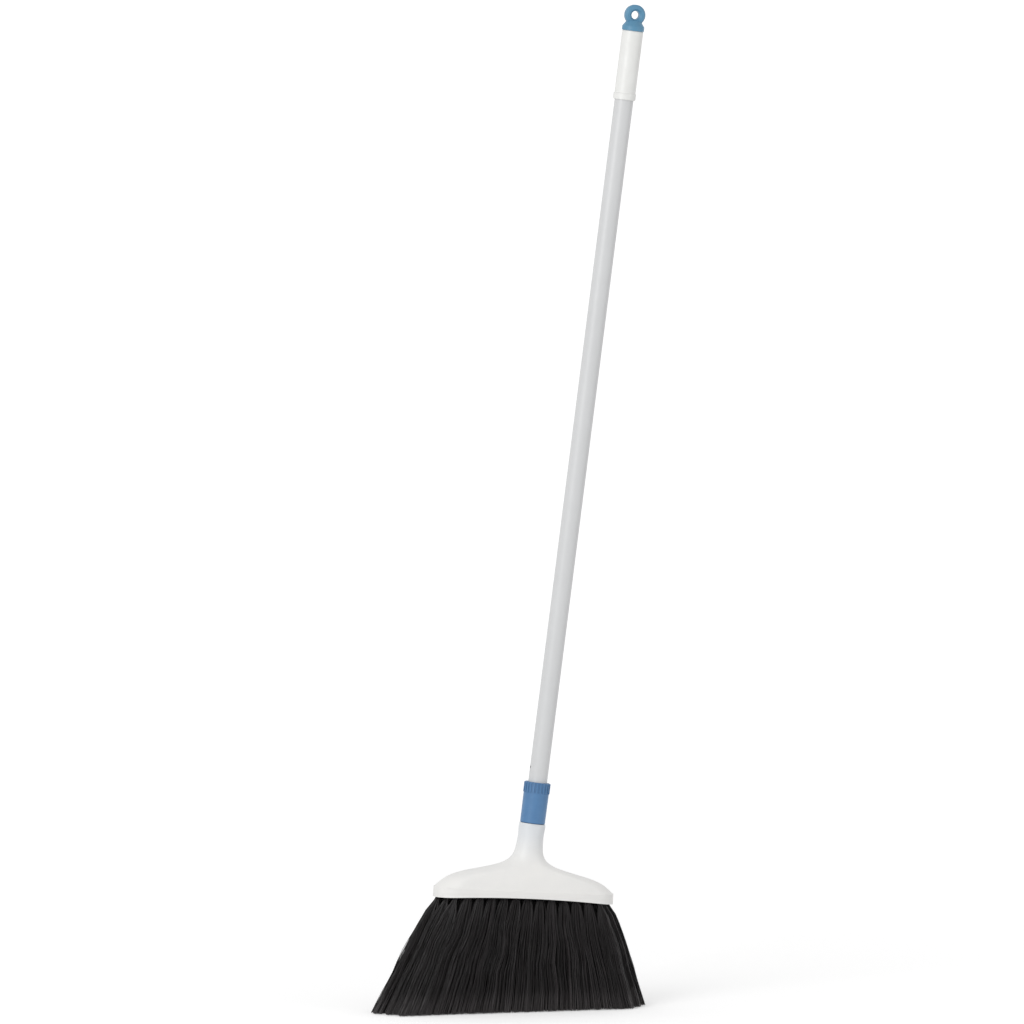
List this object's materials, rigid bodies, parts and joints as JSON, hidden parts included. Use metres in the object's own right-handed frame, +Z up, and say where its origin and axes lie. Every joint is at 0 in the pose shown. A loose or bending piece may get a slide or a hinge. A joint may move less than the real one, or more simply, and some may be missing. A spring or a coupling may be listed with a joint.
{
  "type": "outdoor broom",
  "caption": "Upright outdoor broom with a wide flared fan of stiff bristles, a bell-shaped head cover and a tube pole held in the head by a screw collar.",
  "frame": {"origin": "on the floor, where the axis of the pole meets it, under the middle of the trimmed bristle ends", "axes": "+Z up from the floor, +X along the head towards the end that the pole leans to, +Y from the front of the head to its back"},
  "size_m": [0.3734, 0.0918, 1.3164],
  "materials": {
    "white_plastic": "satin moulded",
    "white_coating": "satin powder coat",
    "blue_plastic": "satin moulded",
    "black_bristle": "extruded filament",
    "black_plastic": "moulded",
    "pale_nylon": "moulded",
    "steel": "zinc plated"
  },
  "bodies": {
    "head": {"head_cover": "white_plastic", "bristle_block": "black_plastic", "block_screws": "steel", "tuft_anchors": "steel", "bristle_row_1": "black_bristle", "bristle_row_2": "black_bristle", "bristle_row_3": "black_bristle", "bristle_row_4": "black_bristle", "bristle_row_5": "black_bristle"},
    "pole": {"pole_tube": "white_coating", "pole_ferrule": "pale_nylon", "ferrule_pin": "steel", "hand_grip": "white_plastic", "hang_cap": "blue_plastic"},
    "collar": {"screw_collar": "blue_plastic"}
  },
  "joints": [
    {"name": "pole_lift", "type": "slide", "parent": "head", "child": "pole", "axis": [0.1305, 0, 0.9914], "range_m": [0, 0.01875]},
    {"name": "collar_turn", "type": "hinge", "parent": "pole", "child": "collar", "pos_m": [0.03552, 0, 0.26977], "axis": [0.1305, 0, 0.9914], "range_deg": [0, 1350]}
  ],
  "couplings": [
    {"joint": "collar_turn", "follows": "pole_lift", "rad_per_m": 1256.6}
  ]
}
